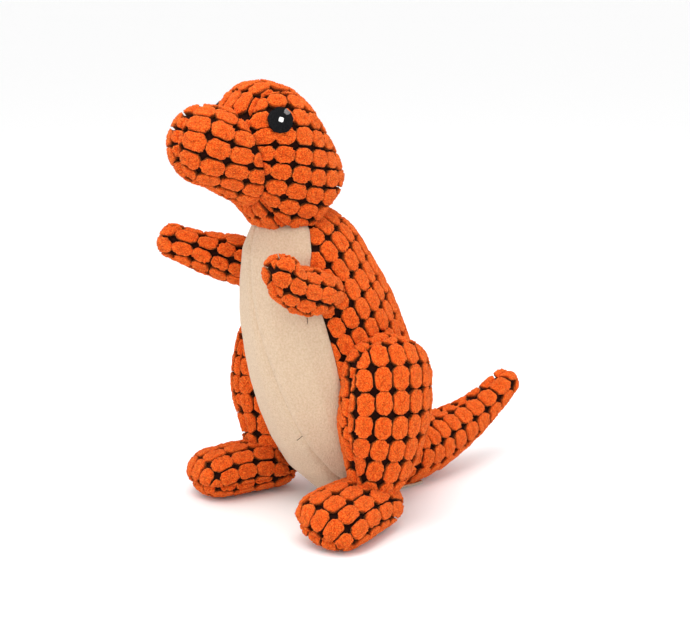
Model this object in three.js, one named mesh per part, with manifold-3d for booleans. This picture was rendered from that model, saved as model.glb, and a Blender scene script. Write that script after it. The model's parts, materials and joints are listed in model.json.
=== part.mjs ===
// A stuffed standing dinosaur, sewn from panels of tufted plush round bags of fibre stuffing.
//
// Frame: millimetres, +Z up, the snout points along -Y, the dinosaur's left side is +X. The origin is on
// the ground under the middle of the toy's outer box. Every soft part is a lofted form. Its skin is a
// shell of the fabric's thickness, cut into the panels that are sewn together, and its stuffing fills the
// inside. Where a part bends against the torso, its open end is cut back by the room that the torso
// takes over the whole bend.
import * as THREE from "three";
import { mergeVertices } from "three/addons/utils/BufferGeometryUtils.js";
import Module from "manifold-3d";

const wasm = await Module();
wasm.setup();

// ---------------------------------------------------------------- driving dimensions, in millimetres

const PILE_FABRIC = 3.2; // thickness of the tufted plush, backing and pile together
const SEAM_GAP = 0.4; // left between two panels that are sewn edge to edge
const STUFFING_GAP = 0.4; // left between a skin and the stuffing inside it
const FLEX_GAP = 0.8; // left between two parts that bend against each other at a seam
const TRIM_GAP = 0.3; // left under each layer of embroidery

const torso = {
  bottom: 12, // height of the seat's underside
  height: 196,
  width: 108,
  depth: 112,
  seatBack: 45, // how far the seat's middle lies behind the hips' line
  lean: 70, // how far the neck stands in front of the seat's middle
  neckRound: 26, // height of the round top that the head turns on
  seatRound: 26,
};
const skull = {
  height: 77,
  width: 76,
  depth: 72,
  forward: 43, // how far the crown stands in front of the neck
  neckBack: 3, // how far the neck's middle lies behind the torso's top
  neckSunk: 4, // how far the neck reaches down over the torso's top
  crownRound: 30,
  gusset: 30, // width of the strips over the crown and under the chin
};
const snout = {
  reach: 76, // from the middle of the skull to the tip
  rise: 19.5,
  rootWidth: 70,
  rootHeight: 66,
  width: 54,
  height: 53,
  tipWidth: 47,
  tipHeight: 44,
  panel: 46, // length of the snout in front of the muzzle seam
};
const arm = {
  length: 71,
  shoulderHeight: 158,
  inset: 20, // of the shoulder's pivot from the torso's widest place
  rootWidth: 41,
  wristWidth: 27,
  tipWidth: 22,
};
const leg = {
  top: 127,
  bottom: 12,
  hipHeight: 92,
  out: 3, // how far the leg's middle stands outside the torso's widest place
  thighWidth: 46,
  thighDepth: 68,
  ankleWidth: 37,
  ankleDepth: 42,
};
const foot = {
  length: 80,
  heelBack: 17, // behind the ankle's middle
  heelIn: 4, // towards the toy's middle from the ankle's
  heelWidth: 38,
  heelHeight: 30,
  width: 50,
  height: 34,
  toeWidth: 46,
  toeHeight: 28,
  splay: 13, // degrees that each foot turns outwards
  leftRoll: 16, // degrees that the left foot leans on its outer edge
  rightRoll: 4,
  seamHeight: 11, // of the seam between upper and sole
};
const tail = { length: 136, rootWidth: 59, tipWidth: 19, rootHeight: 32, tipHeight: 59, dip: 8 };
const eye = {
  diameter: 15.5,
  thickness: 1.2,
  highlight: 3.4,
  glint: 4.6,
  glintUp: 4,
  glintBack: 3.6,
  trimThickness: 0.7,
  height: 56.6, // above the neck seam
  forward: 37.4, // in front of the neck's middle
};
const squeaker = {
  diameter: 36,
  thickness: 15,
  wall: 1.5,
  neck: 11,
  neckLength: 5,
  reed: 7,
  height: 96, // above the ground
  cover: 3, // of stuffing between it and the belly
};
const flap = { width: 24, length: 18, thickness: 1.4, overlap: 4, back: 78 };

// How far each part bends from rest, in degrees, which the clearances between the parts allow for.
const bend = { head: 12, arm: 25, leg: 12, tail: 18 };
const BEND_STEPS = 2;

// ---------------------------------------------------------------- lofted soft forms

const CAP_RINGS = 3;
const BIG = 700; // larger than the whole toy, for cutting shapes

/**
 * A closed form lofted along a smooth line. Each station is [x, y, z, half width, half height], the width
 * along the direction across. The form closes with round ends of the lengths given by caps, and is
 * pressed flat where it would pass under the ground.
 */
function softForm(stations, { across, caps, rings, sides, square = 2 }) {
  const smooth = (pick) => new THREE.CatmullRomCurve3(stations.map(pick), false, "catmullrom");
  const line = smooth(([x, y, z]) => new THREE.Vector3(x, y, z));
  const girth = smooth(([, , , w, h]) => new THREE.Vector3(w, h, 0));
  line.arcLengthDivisions = 400;
  const length = line.getLength();
  const side = new THREE.Vector3(...across).normalize();
  const points = [];
  const ringAt = (distance, scale) => {
    const t = line.getUtoTmapping(distance / length);
    const centre = line.getPoint(t);
    const size = girth.getPoint(t);
    const along = line.getTangent(t);
    const a = side.clone().addScaledVector(along, -side.dot(along)).normalize();
    const b = new THREE.Vector3().crossVectors(along, a);
    for (let i = 0; i < sides; i++) {
      const angle = (2 * Math.PI * i) / sides;
      const c = Math.cos(angle);
      const s = Math.sin(angle);
      const fit = (Math.abs(c) ** square + Math.abs(s) ** square) ** (-1 / square) * scale;
      points.push(
        centre
          .clone()
          .addScaledVector(a, c * fit * size.x)
          .addScaledVector(b, s * fit * size.y),
      );
    }
  };
  const [capStart, capEnd] = caps;
  points.push(line.getPoint(0));
  for (let k = 1; k < CAP_RINGS; k++) {
    const angle = (k / CAP_RINGS) * (Math.PI / 2);
    ringAt(capStart * (1 - Math.cos(angle)), Math.sin(angle));
  }
  for (let k = 0; k <= rings; k++) ringAt(capStart + ((length - capStart - capEnd) * k) / rings, 1);
  for (let k = CAP_RINGS - 1; k > 0; k--) {
    const angle = (k / CAP_RINGS) * (Math.PI / 2);
    ringAt(length - capEnd * (1 - Math.cos(angle)), Math.sin(angle));
  }
  points.push(line.getPoint(1));
  const ringCount = (points.length - 2) / sides;
  const faces = [];
  const last = points.length - 1;
  const at = (ring, i) => 1 + ring * sides + (i % sides);
  for (let i = 0; i < sides; i++) {
    faces.push(0, at(0, i + 1), at(0, i));
    for (let r = 0; r < ringCount - 1; r++) {
      faces.push(at(r, i), at(r, i + 1), at(r + 1, i));
      faces.push(at(r, i + 1), at(r + 1, i + 1), at(r + 1, i));
    }
    faces.push(last, at(ringCount - 1, i), at(ringCount - 1, i + 1));
  }
  return { points, faces };
}

/** The form's surface moved inwards by depth (outwards if negative), as a geometry pressed flat. */
function formGeometry(form, depth = 0) {
  const geometry = new THREE.BufferGeometry().setFromPoints(form.points).setIndex(form.faces);
  geometry.computeVertexNormals();
  const normals = geometry.getAttribute("normal");
  const moved = form.points.map((p, i) => {
    const q = p.clone().addScaledVector(new THREE.Vector3().fromBufferAttribute(normals, i), -depth);
    q.z = Math.max(q.z, depth);
    return q;
  });
  return new THREE.BufferGeometry().setFromPoints(moved).setIndex(form.faces);
}

/** A three.js geometry as a manifold-3d solid. */
function manifoldOf(source) {
  const geometry = source.clone();
  geometry.deleteAttribute("normal");
  geometry.deleteAttribute("uv");
  const merged = mergeVertices(geometry, 1e-4);
  const corners = merged.index.array;
  const triangles = [];
  for (let i = 0; i < corners.length; i += 3) {
    const [a, b, c] = corners.subarray(i, i + 3);
    if (a !== b && b !== c && c !== a) triangles.push(a, b, c);
  }
  return new wasm.Manifold(
    new wasm.Mesh({
      numProp: 3,
      vertProperties: Float32Array.from(merged.getAttribute("position").array),
      triVerts: Uint32Array.from(triangles),
    }),
  );
}

/** A manifold-3d solid as a three.js geometry. */
function geometryOf(solid) {
  const mesh = solid.getMesh();
  const positions = new Float32Array(mesh.numVert * 3);
  for (let i = 0; i < mesh.numVert; i++) {
    const start = i * mesh.numProp;
    positions.set(mesh.vertProperties.subarray(start, start + 3), i * 3);
  }
  return new THREE.BufferGeometry()
    .setAttribute("position", new THREE.BufferAttribute(positions, 3))
    .setIndex(new THREE.BufferAttribute(Uint32Array.from(mesh.triVerts), 1));
}

/** Several forms joined, with the surface moved inwards by depth, as a solid. */
const solidOf = (forms, depth = 0) =>
  forms.map((form) => manifoldOf(formGeometry(form, depth))).reduce((all, one) => all.add(one));

/** The room that the forms take, grown by gap, while a part bends about axis through pivot. */
function sweptRoom(forms, pivot, axis, degrees, gap) {
  let room = null;
  for (let step = 0; step <= BEND_STEPS; step++) {
    const angle = THREE.MathUtils.degToRad(degrees) * ((2 * step) / BEND_STEPS - 1);
    const turn = new THREE.Matrix4()
      .makeTranslation(pivot)
      .multiply(new THREE.Matrix4().makeRotationAxis(axis, angle))
      .multiply(new THREE.Matrix4().makeTranslation(pivot.clone().negate()));
    for (const form of forms) {
      const solid = manifoldOf(formGeometry(form, -gap).applyMatrix4(turn));
      room = room ? room.add(solid) : solid;
    }
  }
  return room;
}

/** Everything on the side of a plane that normal points to, less half a seam's gap. */
function sideOf(point, normal) {
  const n = new THREE.Vector3(...normal).normalize();
  const turn = new THREE.Quaternion().setFromUnitVectors(new THREE.Vector3(0, 0, 1), n);
  const centre = new THREE.Vector3(...point).addScaledVector(n, (BIG + SEAM_GAP) / 2);
  return manifoldOf(new THREE.BoxGeometry(BIG, BIG, BIG).applyQuaternion(turn).translate(...centre));
}

/** The skin of forms: a shell of the fabric's thickness, with room cut away. */
const skinOf = (forms, room) => {
  const skin = solidOf(forms).subtract(solidOf(forms, PILE_FABRIC));
  return room ? skin.subtract(room) : skin;
};

/** The stuffing that fills forms inside their skin, with room cut away. */
const stuffingOf = (forms, room) => {
  const filling = solidOf(forms, PILE_FABRIC + STUFFING_GAP);
  return room ? filling.subtract(room) : filling;
};

/** The largest separate piece of a solid, which leaves off slivers at a cut edge. */
const mainPiece = (solid) =>
  solid.decompose().reduce((best, piece) => (piece.volume() > best.volume() ? piece : best));

// ---------------------------------------------------------------- materials

const finish = (color, roughness) => () =>
  new THREE.MeshStandardMaterial({ color, roughness, metalness: 0 });
const tuftedPlush = finish(0xe8601c, 0.95);
const bellyPlush = finish(0xe3cdb2, 0.92);
const fibreFill = finish(0xf2f0ea, 1);
const blackThread = finish(0x121214, 0.6);
const whiteThread = finish(0xf6f6f4, 0.6);
const greyThread = finish(0x77777c, 0.6);
const squeakerPlastic = finish(0xdfe3e6, 0.4);

// ---------------------------------------------------------------- groups, one to each part that bends

const toy = new THREE.Group();

/** Makes a group at its pivot and returns the function that adds a named solid, given in place, to it. */
function partAt(pivot) {
  const part = new THREE.Group();
  part.position.copy(pivot);
  toy.add(part);
  return (name, solid, material) => {
    const geometry = geometryOf(mainPiece(solid)).translate(...pivot.clone().negate());
    const mesh = new THREE.Mesh(geometry, material());
    mesh.name = name;
    part.add(mesh);
  };
}

const X_AXIS = new THREE.Vector3(1, 0, 0);
const Z_AXIS = new THREE.Vector3(0, 0, 1);

// ---------------------------------------------------------------- torso

const up = (share) => torso.bottom + torso.height * share;
// Shares of the torso's height, lean, width and depth at each station, from the seat to the neck.
const torsoProfile = [
  [0, 0, 0.59, 0.59],
  [0.09, 0.1, 0.8, 0.8],
  [0.215, 0.33, 0.945, 0.965],
  [0.37, 0.53, 1, 1],
  [0.52, 0.68, 0.95, 0.985],
  [0.665, 0.825, 0.87, 0.905],
  [0.8, 0.93, 0.74, 0.765],
  [0.91, 0.985, 0.63, 0.625],
  [1, 1, 0.556, 0.535],
];
const torsoStations = torsoProfile.map(([h, lean, w, d]) => [
  0,
  torso.seatBack - torso.lean * lean,
  up(h),
  (torso.width / 2) * w,
  (torso.depth / 2) * d,
]);
const torsoForm = softForm(torsoStations, {
  across: [1, 0, 0],
  caps: [torso.seatRound, torso.neckRound],
  rings: 8,
  sides: 16,
});

/** The torso's middle front to back, and its half depth, at a share of its height. */
function torsoAt(share) {
  const above = torsoProfile.findIndex(([h]) => h >= share);
  const [low, high] = [torsoProfile[above - 1], torsoProfile[above]];
  const t = (share - low[0]) / (high[0] - low[0]);
  const between = (i) => THREE.MathUtils.lerp(low[i], high[i], t);
  return { middle: torso.seatBack - torso.lean * between(1), halfDepth: (torso.depth / 2) * between(3) };
}

// The line of the seam between the back and the belly panels, seen from the side, from neck to tail, in
// shares of the torso's height above its underside, and as a place front to back in shares of its depth.
const bellySeam = [
  [1.2, -0.3],
  [0.96, -0.28],
  [0.815, -0.34],
  [0.67, -0.31],
  [0.495, -0.235],
  [0.32, -0.17],
  [0.17, -0.05],
  [0.05, 0.14],
  [0.01, 0.36],
  [-0.02, 0.67],
  [-0.02, 1.5],
].map(([h, y]) => new THREE.Vector2(torso.depth * y, up(h)));

// The seam down the middle of the belly crosses the middle plane here and leans to the left below it.
const bellySeamStart = 0.7;
const bellySeamLean = 0.2;

/** The room in front of the belly seam (side 1) or behind it (side -1), as a prism across the toy. */
function alongBellySeam(side) {
  const curve = new THREE.SplineCurve(bellySeam);
  const edge = [];
  const steps = 24;
  for (let i = 0; i <= steps; i++) {
    const p = curve.getPoint(i / steps);
    const t = curve.getTangent(i / steps);
    edge.push(new THREE.Vector2(p.x + (t.y * side * SEAM_GAP) / 2, p.y - (t.x * side * SEAM_GAP) / 2));
  }
  const corners =
    side > 0
      ? [new THREE.Vector2(BIG, -BIG), new THREE.Vector2(-BIG, -BIG), new THREE.Vector2(-BIG, BIG)]
      : [new THREE.Vector2(BIG, BIG)];
  const prism = new THREE.ExtrudeGeometry(new THREE.Shape([...edge, ...corners]), {
    depth: BIG,
    bevelEnabled: false,
  });
  const basis = new THREE.Matrix4().makeBasis(
    new THREE.Vector3(0, 1, 0),
    new THREE.Vector3(0, 0, 1),
    new THREE.Vector3(1, 0, 0),
  );
  return manifoldOf(prism.applyMatrix4(basis).translate(-BIG / 2, 0, 0));
}

const addToTorso = partAt(new THREE.Vector3(0, 0, 0));
const torsoSkin = skinOf([torsoForm]);
const belly = torsoSkin.intersect(alongBellySeam(1));
const back = torsoSkin.intersect(alongBellySeam(-1));
const leftHalf = sideOf([0, 0, 0], [1, 0, 0]);
const rightHalf = sideOf([0, 0, 0], [-1, 0, 0]);
const bellySeamTop = [0, 0, up(bellySeamStart)];
addToTorso("back_panel_left", back.intersect(leftHalf), tuftedPlush);
addToTorso("back_panel_right", back.intersect(rightHalf), tuftedPlush);
addToTorso("belly_panel_left", belly.intersect(sideOf(bellySeamTop, [1, 0, bellySeamLean])), bellyPlush);
addToTorso("belly_panel_right", belly.intersect(sideOf(bellySeamTop, [-1, 0, -bellySeamLean])), bellyPlush);

// The squeaker is a hollow blown disc with a short neck that holds the reed. It stands in a pocket of the
// stuffing, with its flat sides to the front and back, close behind the belly panels.
const bulbCurve = (radius, halfThickness, from, to) => {
  const steps = 5;
  const points = [];
  for (let i = 0; i <= steps; i++) {
    const angle = from + ((to - from) * i) / steps;
    points.push(new THREE.Vector2(radius * Math.cos(angle), halfThickness * Math.sin(angle)));
  }
  return points;
};
const bulbRadius = squeaker.diameter / 2;
const bulbHalf = squeaker.thickness / 2;
const neckRadius = squeaker.neck / 2;
const neckAngle = Math.acos(neckRadius / bulbRadius);
const boreRadius = squeaker.reed / 2 + TRIM_GAP;
const boreAngle = Math.acos(boreRadius / (bulbRadius - squeaker.wall));
const neckTop = bulbHalf + squeaker.neckLength;
const bulbProfile = [
  ...bulbCurve(bulbRadius, bulbHalf, -Math.PI / 2, neckAngle),
  new THREE.Vector2(neckRadius, neckTop),
  new THREE.Vector2(boreRadius, neckTop),
  ...bulbCurve(bulbRadius - squeaker.wall, bulbHalf - squeaker.wall, boreAngle, -Math.PI / 2),
];
bulbProfile[0].x = 0;
bulbProfile.at(-1).x = 0;
const bulbSides = 16;
const squeakerShare = (squeaker.height - torso.bottom) / torso.height;
const bellyFront = torsoAt(squeakerShare).middle - torsoAt(squeakerShare).halfDepth;
const squeakerPlace = new THREE.Matrix4()
  .makeTranslation(0, bellyFront + PILE_FABRIC + squeaker.cover + neckTop, squeaker.height)
  .multiply(new THREE.Matrix4().makeRotationX(Math.PI / 2));
const placed = (geometry) => manifoldOf(geometry.applyMatrix4(squeakerPlace));
const turned = (profile, sides) => new THREE.LatheGeometry(profile, sides).rotateX(Math.PI / 2);
const bulb = placed(turned(bulbProfile, bulbSides));
const reed = placed(
  new THREE.CylinderGeometry(squeaker.reed / 2, squeaker.reed / 2, squeaker.neckLength, bulbSides / 2)
    .rotateX(Math.PI / 2)
    .translate(0, 0, neckTop - squeaker.neckLength / 2),
);
const pocketDepth = 2 * (neckTop + PILE_FABRIC + bulbHalf);
const pocket = placed(
  new THREE.CylinderGeometry(bulbRadius + FLEX_GAP, bulbRadius + FLEX_GAP, pocketDepth, bulbSides)
    .rotateX(Math.PI / 2)
    .translate(0, 0, pocketDepth / 2 - bulbHalf - FLEX_GAP),
);
addToTorso("torso_stuffing", stuffingOf([torsoForm], pocket), fibreFill);
addToTorso("squeaker_bulb", bulb, squeakerPlastic);
addToTorso("squeaker_reed", reed, squeakerPlastic);

// ---------------------------------------------------------------- head

const neckPivot = new THREE.Vector3(0, torsoStations.at(-1)[1], up(1) - torso.neckRound);
const neckRoom = sweptRoom([torsoForm], neckPivot, X_AXIS, bend.head, FLEX_GAP);
const neckSeam = new THREE.Vector3(0, torsoStations.at(-1)[1] + skull.neckBack, up(1) - skull.neckSunk);
const atSkull = (h, f, w, d) => [
  0,
  neckSeam.y - skull.forward * f,
  neckSeam.z + skull.height * h,
  (skull.width / 2) * w,
  (skull.depth / 2) * d,
];
const skullForm = softForm(
  [
    atSkull(0, -0.08, 0.82, 0.84),
    atSkull(0.13, 0.1, 0.92, 0.96),
    atSkull(0.38, 0.42, 1, 1),
    atSkull(0.69, 0.7, 0.95, 0.89),
    atSkull(1, 0.98, 0.84, 0.72),
  ],
  { across: [1, 0, 0], caps: [6, skull.crownRound], rings: 5, sides: 16 },
);
const [, snoutY, snoutZ] = atSkull(0.36, 0.38, 1, 1);
const atSnout = (share, rise, width, height) => [
  0,
  snoutY - snout.reach * share,
  snoutZ + snout.rise * rise,
  width / 2,
  height / 2,
];
const snoutForm = softForm(
  [
    atSnout(0, 0, snout.rootWidth, snout.rootHeight),
    atSnout(0.29, 0.3, (snout.rootWidth * 2 + snout.width) / 3, (snout.rootHeight * 2 + snout.height) / 3),
    atSnout(0.53, 0.6, snout.width, snout.height),
    atSnout(0.77, 0.82, (snout.width + snout.tipWidth) / 2, (snout.height + snout.tipHeight) / 2),
    atSnout(1, 1, snout.tipWidth, snout.tipHeight),
  ],
  { across: [1, 0, 0], caps: [8, 18], rings: 4, sides: 16 },
);
const headForms = [skullForm, snoutForm];
const headSkin = skinOf(headForms, neckRoom);
const muzzleSeam = [0, snoutY - snout.reach + snout.panel, snoutZ];
const muzzleTilt = 0.25;
const inMuzzle = sideOf(muzzleSeam, [0, -1, -muzzleTilt]);
const inSkull = sideOf(muzzleSeam, [0, 1, muzzleTilt]);
const gussetEdge = skull.gusset / 2;
const inGusset = sideOf([gussetEdge, 0, 0], [-1, 0, 0]).intersect(sideOf([-gussetEdge, 0, 0], [1, 0, 0]));
const aboveJaw = sideOf(neckSeam.toArray(), [0, 0.5, 1]);
const belowJaw = sideOf(neckSeam.toArray(), [0, -0.5, -1]);
const skullSkin = headSkin.intersect(inSkull);
const addToHead = partAt(neckPivot);
addToHead("muzzle_left", headSkin.intersect(inMuzzle).intersect(leftHalf), tuftedPlush);
addToHead("muzzle_right", headSkin.intersect(inMuzzle).intersect(rightHalf), tuftedPlush);
addToHead("cheek_left", skullSkin.intersect(sideOf([gussetEdge, 0, 0], [1, 0, 0])), tuftedPlush);
addToHead("cheek_right", skullSkin.intersect(sideOf([-gussetEdge, 0, 0], [-1, 0, 0])), tuftedPlush);
addToHead("crown_gusset", skullSkin.intersect(inGusset).intersect(aboveJaw), tuftedPlush);
addToHead("chin_gusset", skullSkin.intersect(inGusset).intersect(belowJaw), tuftedPlush);
addToHead("head_stuffing", stuffingOf(headForms, neckRoom), fibreFill);

// Each eye is a satin-stitched black disc on the cheek, with a white dot and a grey diamond over it.
for (const [sideName, sign] of [
  ["left", 1],
  ["right", -1],
]) {
  const level = neckSeam.z + eye.height;
  const forward = neckSeam.y - eye.forward;
  const skullMesh = new THREE.Mesh(formGeometry(skullForm), new THREE.MeshBasicMaterial());
  const look = new THREE.Raycaster(
    new THREE.Vector3(sign * BIG, forward, level),
    new THREE.Vector3(-sign, 0, 0),
  );
  const { point, face } = look.intersectObject(skullMesh)[0];
  const turn = new THREE.Quaternion().setFromUnitVectors(Z_AXIS, face.normal);
  const layer = (outline, along, rise, low, thickness) => {
    const column = outline.translate(along, rise, 0).applyQuaternion(turn).translate(...point);
    return manifoldOf(column)
      .intersect(solidOf(headForms, -low - thickness))
      .subtract(solidOf(headForms, -low));
  };
  const disc = new THREE.CylinderGeometry(eye.diameter / 2, eye.diameter / 2, 12, 16).rotateX(Math.PI / 2);
  const dot = new THREE.CylinderGeometry(eye.highlight / 2, eye.highlight / 2, 12, 8).rotateX(Math.PI / 2);
  const diamond = new THREE.CylinderGeometry(eye.glint / 2, eye.glint / 2, 12, 4).rotateX(Math.PI / 2);
  const overDisc = 2 * TRIM_GAP + eye.thickness;
  addToHead(`${sideName}_eye_patch`, layer(disc, 0, 0, TRIM_GAP, eye.thickness), blackThread);
  addToHead(
    `${sideName}_eye_highlight`,
    layer(dot, 0, 0, overDisc, eye.trimThickness),
    whiteThread,
  );
  addToHead(
    `${sideName}_eye_glint`,
    layer(diamond, -sign * eye.glintUp, eye.glintBack, overDisc, eye.trimThickness),
    greyThread,
  );
}

// ---------------------------------------------------------------- arms

// Each arm's middle line from the shoulder, in shares of its length. The left hand curls up.
const armLines = {
  left: [[0, 0, 0], [0.07, -0.34, -0.01], [0.13, -0.63, 0.07], [0.17, -0.82, 0.35]],
  right: [[0, 0, 0], [-0.24, -0.27, 0.08], [-0.48, -0.51, 0.16], [-0.76, -0.74, 0.28]],
};
const shoulderX = torso.width / 2 - arm.inset;
const shoulderShare = (arm.shoulderHeight - torso.bottom) / torso.height;
const shoulderY = torsoAt(shoulderShare).middle - 1;
const armGirths = [arm.rootWidth, (arm.rootWidth + arm.wristWidth) / 2, arm.wristWidth, arm.tipWidth];
for (const [sideName, sign] of [
  ["left", 1],
  ["right", -1],
]) {
  const shoulder = new THREE.Vector3(sign * shoulderX, shoulderY, up(shoulderShare));
  const line = armLines[sideName].map((share) =>
    shoulder.clone().addScaledVector(new THREE.Vector3(...share), arm.length),
  );
  const form = softForm(
    line.map((p, i) => [...p, armGirths[i] / 2, armGirths[i] / 2]),
    { across: [1, 0, 0], caps: [10, 7], rings: 4, sides: 10 },
  );
  const room = sweptRoom([torsoForm], shoulder, X_AXIS, bend.arm, FLEX_GAP);
  const reachOut = line.at(-1).clone().sub(shoulder).setZ(0).normalize();
  const outwards = new THREE.Vector3(-reachOut.y * sign, reachOut.x * sign, 0);
  const skin = skinOf([form], room);
  const middle = line[2].toArray();
  const add = partAt(shoulder);
  add(`${sideName}_arm_outer`, skin.intersect(sideOf(middle, outwards.toArray())), tuftedPlush);
  const inwards = outwards.clone().negate();
  add(`${sideName}_arm_inner`, skin.intersect(sideOf(middle, inwards.toArray())), tuftedPlush);
  add(`${sideName}_arm_stuffing`, stuffingOf([form], room), fibreFill);
}

// ---------------------------------------------------------------- legs and feet

const legX = torso.width / 2 + leg.out;
const hipY = torsoAt((leg.hipHeight - torso.bottom) / torso.height).middle;
// At each station: share of the leg's height, forward of the hip, inset towards the torso, and shares of
// the way from the thigh's girth to the ankle's.
const legProfile = [
  [1, -3, 9, 0.83, 0.85],
  [0.73, 2, 2, 1, 1],
  [0.47, 5, 0, 0.95, 0.93],
  [0.19, 8, 2, 0, 0],
  [0, 9, 5, 0, -0.1],
];
for (const [sideName, sign] of [
  ["left", 1],
  ["right", -1],
]) {
  const legStations = legProfile.map(([h, forward, inset, w, d]) => [
    sign * (legX - inset),
    hipY - forward,
    THREE.MathUtils.lerp(leg.bottom, leg.top, h),
    THREE.MathUtils.lerp(leg.ankleWidth, leg.thighWidth, w) / 2,
    THREE.MathUtils.lerp(leg.ankleDepth, leg.thighDepth, d) / 2,
  ]);
  const legForm = softForm(legStations, { across: [1, 0, 0], caps: [24, 8], rings: 6, sides: 12 });

  const splay = THREE.MathUtils.degToRad(foot.splay) * sign;
  const roll = THREE.MathUtils.degToRad(sign > 0 ? foot.leftRoll : foot.rightRoll);
  const along = new THREE.Vector3(Math.sin(splay), -Math.cos(splay), 0);
  const across = new THREE.Vector3(Math.cos(splay), Math.sin(splay), -sign * Math.tan(roll));
  const ankle = legStations.at(-1);
  const heel = new THREE.Vector3(ankle[0] - sign * foot.heelIn, ankle[1] + foot.heelBack, 0);
  const atFoot = (share, width, height) => {
    const p = heel.clone().addScaledVector(along, share * foot.length);
    return [p.x, p.y, height / 2, width / 2, height / 2 + 1];
  };
  const footForm = softForm(
    [
      atFoot(0, foot.heelWidth, foot.heelHeight),
      atFoot(0.35, (foot.heelWidth + foot.width) / 2, foot.height),
      atFoot(0.7, foot.width, (foot.height + foot.toeHeight) / 2 + 1),
      atFoot(1, foot.toeWidth, foot.toeHeight),
    ],
    { across: across.toArray(), caps: [16, 15], rings: 4, sides: 12, square: 2.3 },
  );

  const hip = new THREE.Vector3(sign * legX, hipY, leg.hipHeight);
  const room = sweptRoom([torsoForm], hip, X_AXIS, bend.leg, FLEX_GAP);
  const legRoom = room.add(solidOf([footForm], -SEAM_GAP));
  const skin = skinOf([legForm], legRoom);
  const add = partAt(hip);
  add(`${sideName}_leg_outer`, skin.intersect(sideOf([hip.x, 0, 0], [sign, 0, 0])), tuftedPlush);
  add(`${sideName}_leg_inner`, skin.intersect(sideOf([hip.x, 0, 0], [-sign, 0, 0])), tuftedPlush);
  add(`${sideName}_leg_stuffing`, stuffingOf([legForm], legRoom), fibreFill);

  const footSkin = skinOf([footForm], room);
  const soleUp = across.clone().cross(along).negate();
  const solePoint = [heel.x, heel.y, foot.seamHeight];
  add(`${sideName}_foot_upper`, footSkin.intersect(sideOf(solePoint, soleUp.toArray())), tuftedPlush);
  add(
    `${sideName}_foot_sole`,
    footSkin.intersect(sideOf(solePoint, soleUp.clone().negate().toArray())),
    tuftedPlush,
  );
  add(`${sideName}_foot_stuffing`, stuffingOf([footForm], room), fibreFill);
}

// ---------------------------------------------------------------- tail

const tailStart = torso.seatBack - 5;
// Shares of the tail's length, of its rise, of its dip, and of the way from its root's girth to its tip's.
const tailProfile = [
  [0, 0, 0, 0],
  [0.235, 0, 1, 0.23],
  [0.47, 0.1, 1, 0.5],
  [0.735, 0.46, 0.8, 0.78],
  [1, 1, 0, 1],
];
const tailForm = softForm(
  tailProfile.map(([l, rise, dip, girth]) => {
    const half = THREE.MathUtils.lerp(tail.rootWidth, tail.tipWidth, girth) / 2;
    const z = THREE.MathUtils.lerp(tail.rootHeight, tail.tipHeight, rise) - tail.dip * dip;
    return [0, tailStart + tail.length * l, z, half, half];
  }),
  { across: [1, 0, 0], caps: [12, 7], rings: 6, sides: 12 },
);
const tailPivot = new THREE.Vector3(0, torso.seatBack + 7, tail.rootHeight);
const flapLength = flap.length + flap.overlap;
const flapAt = (grow) =>
  manifoldOf(
    new THREE.BoxGeometry(
      flap.width + 2 * grow,
      flapLength + 2 * grow,
      flap.thickness + 2 * grow,
    ).translate(0, flap.back - flapLength / 2, TRIM_GAP + flap.thickness / 2),
  );
const tailRoom = sweptRoom([torsoForm], tailPivot, Z_AXIS, bend.tail, FLEX_GAP).add(flapAt(SEAM_GAP));
const tailSkin = skinOf([tailForm], tailRoom);
const addToTail = partAt(tailPivot);
addToTail("tail_left", tailSkin.intersect(leftHalf), tuftedPlush);
addToTail("tail_right", tailSkin.intersect(rightHalf), tuftedPlush);
addToTail("tail_stuffing", stuffingOf([tailForm], tailRoom), fibreFill);
addToTail("tail_flap", flapAt(0), bellyPlush);

// ---------------------------------------------------------------- the toy, with its origin underneath

const box = new THREE.Box3().setFromObject(toy);
const middle = box.getCenter(new THREE.Vector3());
toy.position.set(-middle.x, -middle.y, -box.min.z);

export default toy;
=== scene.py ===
# A stuffed standing dinosaur of tufted orange plush with a cream belly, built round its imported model.
import json
import math

import bpy
import numpy as np
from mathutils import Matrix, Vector
from mathutils.bvhtree import BVHTree
from mathutils.kdtree import KDTree


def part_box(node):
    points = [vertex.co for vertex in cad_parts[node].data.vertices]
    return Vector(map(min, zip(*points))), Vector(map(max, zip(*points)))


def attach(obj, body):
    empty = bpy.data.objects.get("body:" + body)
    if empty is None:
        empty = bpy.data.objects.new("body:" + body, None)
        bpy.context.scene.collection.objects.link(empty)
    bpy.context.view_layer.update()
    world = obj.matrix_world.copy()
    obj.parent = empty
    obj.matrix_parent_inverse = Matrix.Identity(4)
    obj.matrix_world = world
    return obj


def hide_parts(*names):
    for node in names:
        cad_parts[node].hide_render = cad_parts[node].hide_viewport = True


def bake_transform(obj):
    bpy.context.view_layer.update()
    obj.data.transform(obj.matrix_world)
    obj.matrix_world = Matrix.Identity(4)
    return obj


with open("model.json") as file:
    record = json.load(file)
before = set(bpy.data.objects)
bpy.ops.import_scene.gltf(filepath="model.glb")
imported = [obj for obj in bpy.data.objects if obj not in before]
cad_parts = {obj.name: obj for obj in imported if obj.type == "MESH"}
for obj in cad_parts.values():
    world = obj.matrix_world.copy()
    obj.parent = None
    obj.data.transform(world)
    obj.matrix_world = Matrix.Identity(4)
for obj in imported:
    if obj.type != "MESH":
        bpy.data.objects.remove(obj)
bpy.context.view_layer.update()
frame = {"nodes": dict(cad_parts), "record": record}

# ------------------------------------------------------------------------------------------------
# The set: a pale sweep of paper, soft boxes above and beside it, and a camera at the toy's own
# height, a little above, off its left front.
# ------------------------------------------------------------------------------------------------

AIM = Vector((0.0112, -0.0226, 0.128))
CAMERA_TURN = math.radians(50)
CAMERA_RISE = math.radians(13)
CAMERA_AWAY = 1.0
LENS = 80.3

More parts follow.
